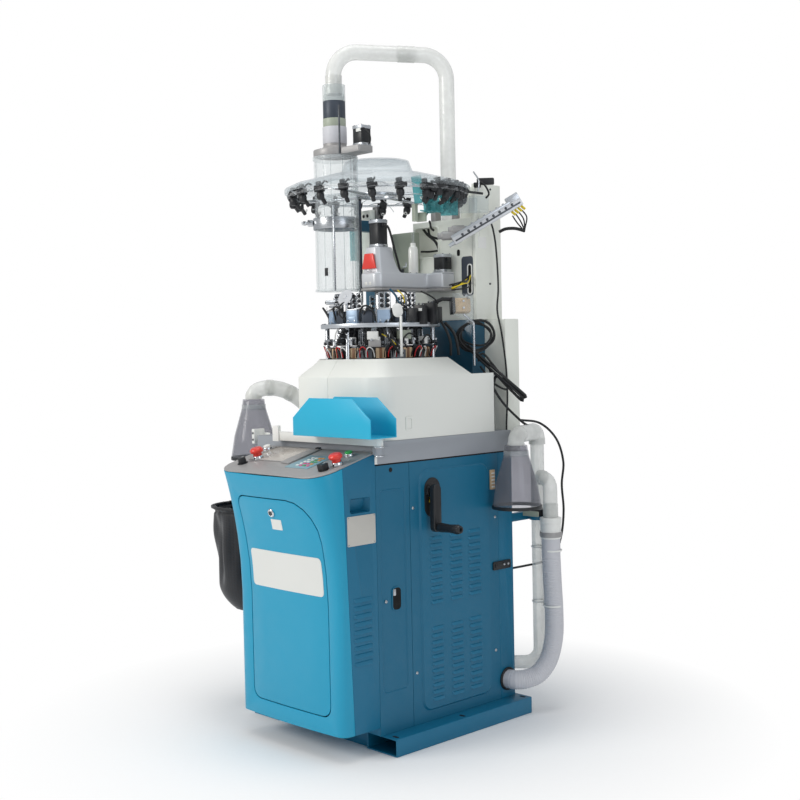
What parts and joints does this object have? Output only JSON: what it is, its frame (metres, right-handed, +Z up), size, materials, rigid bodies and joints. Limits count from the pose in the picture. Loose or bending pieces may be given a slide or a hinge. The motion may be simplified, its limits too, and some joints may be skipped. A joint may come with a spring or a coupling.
{
  "type": "circular knitting machine",
  "caption": "Free-standing circular sock knitting machine with cabinet, sloping console, guarded cylinder head, yarn feeder ring, suction pipes, hand crank and sock bag.",
  "frame": {"origin": "on the floor, on the needle cylinder's axis", "axes": "+Z up, +X to the crank side, -Y to the operator and console side"},
  "size_m": [0.926, 0.9415, 2.0459],
  "materials": {
    "teal_paint": "satin powder coat",
    "teal_shell": "satin moulded shell",
    "bed_grey": "grey hammered enamel",
    "hood_white": "off-white satin paint",
    "cream_paint": "cream satin paint",
    "casting": "silver-grey paint on a casting",
    "steel": "ground steel",
    "dark_steel": "oiled dark steel",
    "black_plastic": "moulded",
    "black_metal": "black enamel",
    "rubber": "matte",
    "red_plastic": "glossy",
    "green_plastic": "glossy",
    "white_plastic": "satin",
    "white_paint": "satin",
    "panel_grey": "textured",
    "clear_plastic": "clear moulded plastic",
    "hose_grey": "ribbed flexible hose",
    "bag_cloth": "woven nylon"
  },
  "bodies": {
    "machine": {"bag": "bag_cloth", "bag_hoop": "steel", "bed_plate": "bed_grey", "blower_housing": "dark_steel", "branch_elbow": "clear_plastic", "cabinet_frame": "teal_paint", "cam_housing": "dark_steel", "canister": "clear_plastic", "canister_cap": "panel_grey", "clear_pipe": "clear_plastic", "column": "cream_paint", "console_body": "teal_shell", "console_front": "teal_shell", "console_top": "panel_grey", "control_box": "cream_paint", "crossmember_center": "teal_paint", "crossmember_front": "teal_paint", "disc_cover": "clear_plastic", "drive_belt": "rubber", "elbow_pipe_right": "clear_plastic", "feeder_ring": "steel", "grey_hose": "hose_grey", "head_arm": "casting", "hood_front_cover": "hood_white", "hood_guard": "hood_white", "hose_coupling": "white_plastic", "left_pipe": "clear_plastic", "loop_cable": "rubber", "main_motor": "black_metal", "overhead_pipe": "clear_plastic", "panel_rear": "teal_paint", "panel_right": "teal_paint", "panel_right_front": "teal_paint", "rail_left": "teal_paint", "rail_right": "teal_paint", "rear_cable": "rubber", "rear_stand": "teal_paint", "ring_plate": "steel", "suction_cone_left": "clear_plastic", "suction_cone_right": "clear_plastic", "valve_bank": "casting", "valve_cable": "rubber"},
    "cylinder": {"cylinder_shaft": "steel", "needle_cylinder": "steel"},
    "dial": {"dial": "steel"},
    "lay_shaft": {"lay_shaft": "steel"},
    "crank": {"crank": "black_metal"},
    "crank_grip": {"crank_grip": "black_plastic"},
    "motor_pulley": {"motor_pulley": "dark_steel"},
    "impeller": {"blower_impeller": "steel"},
    "console_door": {"console_door": "teal_shell"},
    "estop_right": {"estop_right": "red_plastic"},
    "estop_left": {"estop_left": "red_plastic"},
    "button_green": {"button_green": "green_plastic"},
    "button_white": {"button_white": "white_plastic"},
    "selector": {"selector_knob": "black_plastic"},
    "knob_left": {"knob_left": "black_plastic"},
    "tray": {"tray_bar": "white_paint", "tray": "teal_paint"},
    "red_lever": {"red_lever": "red_plastic"}
  },
  "joints": [
    {"name": "cylinder_spin", "type": "hinge", "parent": "machine", "child": "cylinder", "pos_m": [0, 0, 0.9], "axis": [0, 0, 1], "continuous": true},
    {"name": "dial_spin", "type": "hinge", "parent": "machine", "child": "dial", "pos_m": [0, 0, 1.2], "axis": [0, 0, 1], "continuous": true},
    {"name": "lay_turn", "type": "hinge", "parent": "machine", "child": "lay_shaft", "pos_m": [0.15, -0.077, 0.72], "axis": [0, 0, 1], "continuous": true},
    {"name": "motor_turn", "type": "hinge", "parent": "machine", "child": "motor_pulley", "pos_m": [-0.15, 0.11, 0.67], "axis": [0, 0, 1], "continuous": true},
    {"name": "crank_turn", "type": "hinge", "parent": "machine", "child": "crank", "pos_m": [0.2835, -0.077, 0.7053], "axis": [1, 0, 0], "continuous": true},
    {"name": "grip_spin", "type": "hinge", "parent": "crank", "child": "crank_grip", "pos_m": [0.302, -0.077, 0.6053], "axis": [1, 0, 0], "continuous": true},
    {"name": "impeller_spin", "type": "hinge", "parent": "machine", "child": "impeller", "pos_m": [0.09, 0.13, 0.1763], "axis": [1, 0, 0], "continuous": true},
    {"name": "door_hinge", "type": "hinge", "parent": "machine", "child": "console_door", "pos_m": [0.047, -0.418, 0.121], "axis": [1, 0, 0], "range_deg": [0, 75]},
    {"name": "estop_right_press", "type": "slide", "parent": "machine", "child": "estop_right", "axis": [0, 0.2538, -0.9673], "range_m": [0, 0.004], "stiffness_N_per_m": 2000},
    {"name": "estop_left_press", "type": "slide", "parent": "machine", "child": "estop_left", "axis": [0, 0.2538, -0.9673], "range_m": [0, 0.004], "stiffness_N_per_m": 2000},
    {"name": "button_green_press", "type": "slide", "parent": "machine", "child": "button_green", "axis": [0, 0.2538, -0.9673], "range_m": [0, 0.0025], "stiffness_N_per_m": 1500},
    {"name": "button_white_press", "type": "slide", "parent": "machine", "child": "button_white", "axis": [0, 0.2538, -0.9673], "range_m": [0, 0.0025], "stiffness_N_per_m": 1500},
    {"name": "selector_turn", "type": "hinge", "parent": "machine", "child": "selector", "pos_m": [0.222, -0.42537, 0.7902], "axis": [0, -0.2538, 0.9673], "range_deg": [-45, 45]},
    {"name": "knob_turn", "type": "hinge", "parent": "machine", "child": "knob_left", "pos_m": [-0.13, -0.42634, 0.78995], "axis": [0, -0.2538, 0.9673], "range_deg": [-135, 135]},
    {"name": "tray_swing", "type": "hinge", "parent": "machine", "child": "tray", "pos_m": [0.286, -0.283, 0.8456], "axis": [0, 0, 1], "range_deg": [0, 90]},
    {"name": "lever_tilt", "type": "hinge", "parent": "machine", "child": "red_lever", "pos_m": [0, -0.0424, 1.3446], "axis": [1, 0, 0], "range_deg": [0, 40]}
  ],
  "couplings": [
    {"joint": "dial_spin", "follows": "cylinder_spin", "ratio": 1},
    {"joint": "lay_turn", "follows": "cylinder_spin", "ratio": -2.4},
    {"joint": "crank_turn", "follows": "cylinder_spin", "ratio": -2.4},
    {"joint": "motor_turn", "follows": "cylinder_spin", "ratio": 3.6667}
  ]
}
